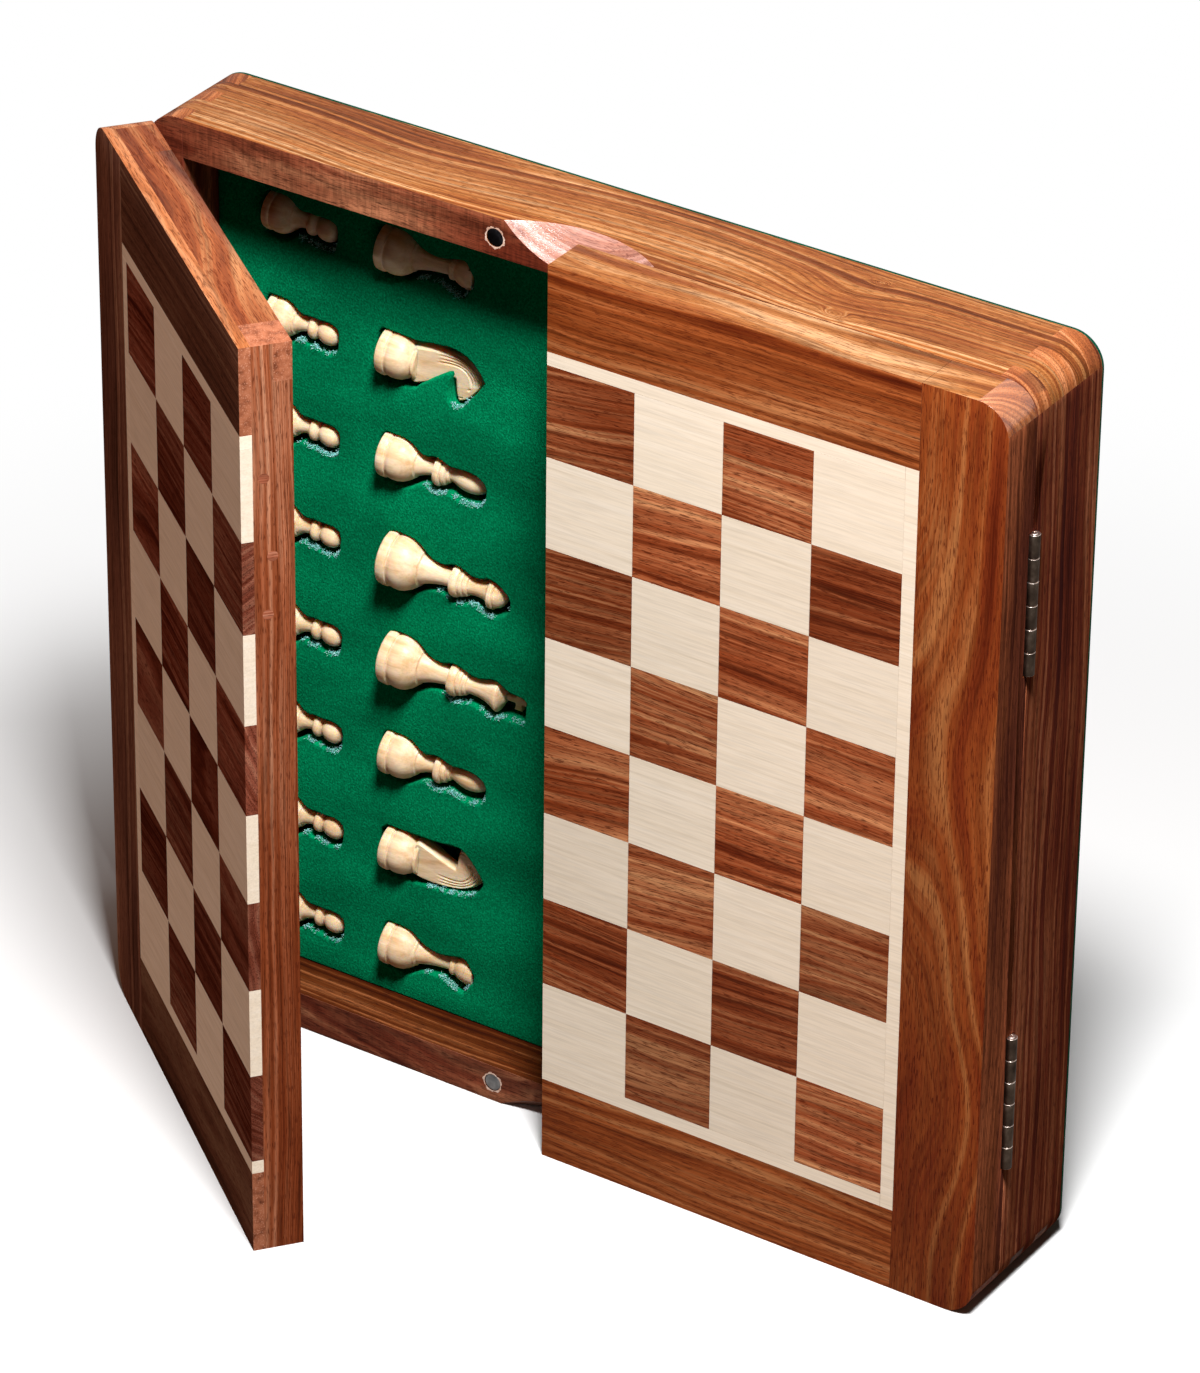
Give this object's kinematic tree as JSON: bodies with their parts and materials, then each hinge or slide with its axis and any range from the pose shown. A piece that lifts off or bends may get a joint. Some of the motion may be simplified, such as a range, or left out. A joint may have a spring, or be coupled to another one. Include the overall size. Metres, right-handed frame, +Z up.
{
  "type": "chess set with board",
  "caption": "Magnetic chess set: a wooden cabinet box whose two hinged doors carry the halves of the board, with turned men lying in shaped velvet nests inside.",
  "frame": {"origin": "middle of the case's standing face, which is the lower face of its lower rail, doors and felt not counted", "axes": "+Z up along the height, +X along the width towards the right door, -Y is the side that the doors face"},
  "size_m": [0.2641, 0.1191, 0.2535],
  "materials": {
    "rosewood": "golden sheesham, satin lacquer",
    "dark_rosewood": "dark sheesham, satin lacquer",
    "maple": "pale maple, satin lacquer",
    "boxwood": "turned boxwood, polished",
    "stained_rosewood": "turned sheesham, polished",
    "velvet": "short green pile",
    "felt": "dark green wool felt",
    "magnet_steel": "nickel plated, dull",
    "sheet_steel": "plain rolled",
    "hinge_brass": "plated, aged"
  },
  "bodies": {
    "case": {"case_top_rail": "rosewood", "case_bottom_rail": "rosewood", "case_sides": "rosewood", "back_panel": "rosewood", "base_felt": "felt", "nest_insert": "velvet", "case_magnets": "magnet_steel", "case_hinge_leaves": "hinge_brass", "hinge_pins": "hinge_brass", "case_hinge_screws": "hinge_brass"},
    "left_door": {"left_door_frame": "rosewood", "left_door_core": "rosewood", "left_board_line": "maple", "left_light_squares": "maple", "left_dark_squares": "dark_rosewood", "left_steel_sheet": "sheet_steel", "left_door_magnets": "magnet_steel", "left_hinge_leaves": "hinge_brass", "left_hinge_screws": "hinge_brass"},
    "right_door": {"right_door_frame": "rosewood", "right_door_core": "rosewood", "right_board_line": "maple", "right_light_squares": "maple", "right_dark_squares": "dark_rosewood", "right_steel_sheet": "sheet_steel", "right_door_magnets": "magnet_steel", "right_hinge_leaves": "hinge_brass", "right_hinge_screws": "hinge_brass"},
    "light_king": {"light_king": "boxwood"},
    "light_queen": {"light_queen": "boxwood"},
    "light_bishop_1": {"light_bishop_1": "boxwood"},
    "light_bishop_2": {"light_bishop_2": "boxwood"},
    "light_knight_1": {"light_knight_1": "boxwood"},
    "light_knight_2": {"light_knight_2": "boxwood"},
    "light_rook_1": {"light_rook_1": "boxwood"},
    "light_rook_2": {"light_rook_2": "boxwood"},
    "light_pawn_1": {"light_pawn_1": "boxwood"},
    "light_pawn_2": {"light_pawn_2": "boxwood"},
    "light_pawn_3": {"light_pawn_3": "boxwood"},
    "light_pawn_4": {"light_pawn_4": "boxwood"},
    "light_pawn_5": {"light_pawn_5": "boxwood"},
    "light_pawn_6": {"light_pawn_6": "boxwood"},
    "light_pawn_7": {"light_pawn_7": "boxwood"},
    "light_pawn_8": {"light_pawn_8": "boxwood"},
    "dark_king": {"dark_king": "stained_rosewood"},
    "dark_queen": {"dark_queen": "stained_rosewood"},
    "dark_bishop_1": {"dark_bishop_1": "stained_rosewood"},
    "dark_bishop_2": {"dark_bishop_2": "stained_rosewood"},
    "dark_knight_1": {"dark_knight_1": "stained_rosewood"},
    "dark_knight_2": {"dark_knight_2": "stained_rosewood"},
    "dark_rook_1": {"dark_rook_1": "stained_rosewood"},
    "dark_rook_2": {"dark_rook_2": "stained_rosewood"},
    "dark_pawn_1": {"dark_pawn_1": "stained_rosewood"},
    "dark_pawn_2": {"dark_pawn_2": "stained_rosewood"},
    "dark_pawn_3": {"dark_pawn_3": "stained_rosewood"},
    "dark_pawn_4": {"dark_pawn_4": "stained_rosewood"},
    "dark_pawn_5": {"dark_pawn_5": "stained_rosewood"},
    "dark_pawn_6": {"dark_pawn_6": "stained_rosewood"},
    "dark_pawn_7": {"dark_pawn_7": "stained_rosewood"},
    "dark_pawn_8": {"dark_pawn_8": "stained_rosewood"}
  },
  "joints": [
    {"name": "left_door_hinge", "type": "hinge", "parent": "case", "child": "left_door", "pos_m": [-0.1274, -0.01475, 0.12675], "axis": [0, 0, -1], "range_deg": [-38, 142]},
    {"name": "right_door_hinge", "type": "hinge", "parent": "case", "child": "right_door", "pos_m": [0.1274, -0.01475, 0.12675], "axis": [0, 0, 1], "range_deg": [0, 180]},
    {"name": "light_king_lift", "type": "slide", "parent": "case", "child": "light_king", "axis": [0, -1, 0], "range_m": [0, 0.02]},
    {"name": "light_queen_lift", "type": "slide", "parent": "case", "child": "light_queen", "axis": [0, -1, 0], "range_m": [0, 0.02]},
    {"name": "light_bishop_1_lift", "type": "slide", "parent": "case", "child": "light_bishop_1", "axis": [0, -1, 0], "range_m": [0, 0.02]},
    {"name": "light_bishop_2_lift", "type": "slide", "parent": "case", "child": "light_bishop_2", "axis": [0, -1, 0], "range_m": [0, 0.02]},
    {"name": "light_knight_1_lift", "type": "slide", "parent": "case", "child": "light_knight_1", "axis": [0, -1, 0], "range_m": [0, 0.02]},
    {"name": "light_knight_2_lift", "type": "slide", "parent": "case", "child": "light_knight_2", "axis": [0, -1, 0], "range_m": [0, 0.02]},
    {"name": "light_rook_1_lift", "type": "slide", "parent": "case", "child": "light_rook_1", "axis": [0, -1, 0], "range_m": [0, 0.02]},
    {"name": "light_rook_2_lift", "type": "slide", "parent": "case", "child": "light_rook_2", "axis": [0, -1, 0], "range_m": [0, 0.02]},
    {"name": "light_pawn_1_lift", "type": "slide", "parent": "case", "child": "light_pawn_1", "axis": [0, -1, 0], "range_m": [0, 0.02]},
    {"name": "light_pawn_2_lift", "type": "slide", "parent": "case", "child": "light_pawn_2", "axis": [0, -1, 0], "range_m": [0, 0.02]},
    {"name": "light_pawn_3_lift", "type": "slide", "parent": "case", "child": "light_pawn_3", "axis": [0, -1, 0], "range_m": [0, 0.02]},
    {"name": "light_pawn_4_lift", "type": "slide", "parent": "case", "child": "light_pawn_4", "axis": [0, -1, 0], "range_m": [0, 0.02]},
    {"name": "light_pawn_5_lift", "type": "slide", "parent": "case", "child": "light_pawn_5", "axis": [0, -1, 0], "range_m": [0, 0.02]},
    {"name": "light_pawn_6_lift", "type": "slide", "parent": "case", "child": "light_pawn_6", "axis": [0, -1, 0], "range_m": [0, 0.02]},
    {"name": "light_pawn_7_lift", "type": "slide", "parent": "case", "child": "light_pawn_7", "axis": [0, -1, 0], "range_m": [0, 0.02]},
    {"name": "light_pawn_8_lift", "type": "slide", "parent": "case", "child": "light_pawn_8", "axis": [0, -1, 0], "range_m": [0, 0.02]},
    {"name": "dark_king_lift", "type": "slide", "parent": "case", "child": "dark_king", "axis": [0, -1, 0], "range_m": [0, 0.0065]},
    {"name": "dark_queen_lift", "type": "slide", "parent": "case", "child": "dark_queen", "axis": [0, -1, 0], "range_m": [0, 0.0065]},
    {"name": "dark_bishop_1_lift", "type": "slide", "parent": "case", "child": "dark_bishop_1", "axis": [0, -1, 0], "range_m": [0, 0.0065]},
    {"name": "dark_bishop_2_lift", "type": "slide", "parent": "case", "child": "dark_bishop_2", "axis": [0, -1, 0], "range_m": [0, 0.0065]},
    {"name": "dark_knight_1_lift", "type": "slide", "parent": "case", "child": "dark_knight_1", "axis": [0, -1, 0], "range_m": [0, 0.0065]},
    {"name": "dark_knight_2_lift", "type": "slide", "parent": "case", "child": "dark_knight_2", "axis": [0, -1, 0], "range_m": [0, 0.0065]},
    {"name": "dark_rook_1_lift", "type": "slide", "parent": "case", "child": "dark_rook_1", "axis": [0, -1, 0], "range_m": [0, 0.0065]},
    {"name": "dark_rook_2_lift", "type": "slide", "parent": "case", "child": "dark_rook_2", "axis": [0, -1, 0], "range_m": [0, 0.0065]},
    {"name": "dark_pawn_1_lift", "type": "slide", "parent": "case", "child": "dark_pawn_1", "axis": [0, -1, 0], "range_m": [0, 0.0065]},
    {"name": "dark_pawn_2_lift", "type": "slide", "parent": "case", "child": "dark_pawn_2", "axis": [0, -1, 0], "range_m": [0, 0.0065]},
    {"name": "dark_pawn_3_lift", "type": "slide", "parent": "case", "child": "dark_pawn_3", "axis": [0, -1, 0], "range_m": [0, 0.0065]},
    {"name": "dark_pawn_4_lift", "type": "slide", "parent": "case", "child": "dark_pawn_4", "axis": [0, -1, 0], "range_m": [0, 0.0065]},
    {"name": "dark_pawn_5_lift", "type": "slide", "parent": "case", "child": "dark_pawn_5", "axis": [0, -1, 0], "range_m": [0, 0.0065]},
    {"name": "dark_pawn_6_lift", "type": "slide", "parent": "case", "child": "dark_pawn_6", "axis": [0, -1, 0], "range_m": [0, 0.0065]},
    {"name": "dark_pawn_7_lift", "type": "slide", "parent": "case", "child": "dark_pawn_7", "axis": [0, -1, 0], "range_m": [0, 0.0065]},
    {"name": "dark_pawn_8_lift", "type": "slide", "parent": "case", "child": "dark_pawn_8", "axis": [0, -1, 0], "range_m": [0, 0.0065]}
  ]
}
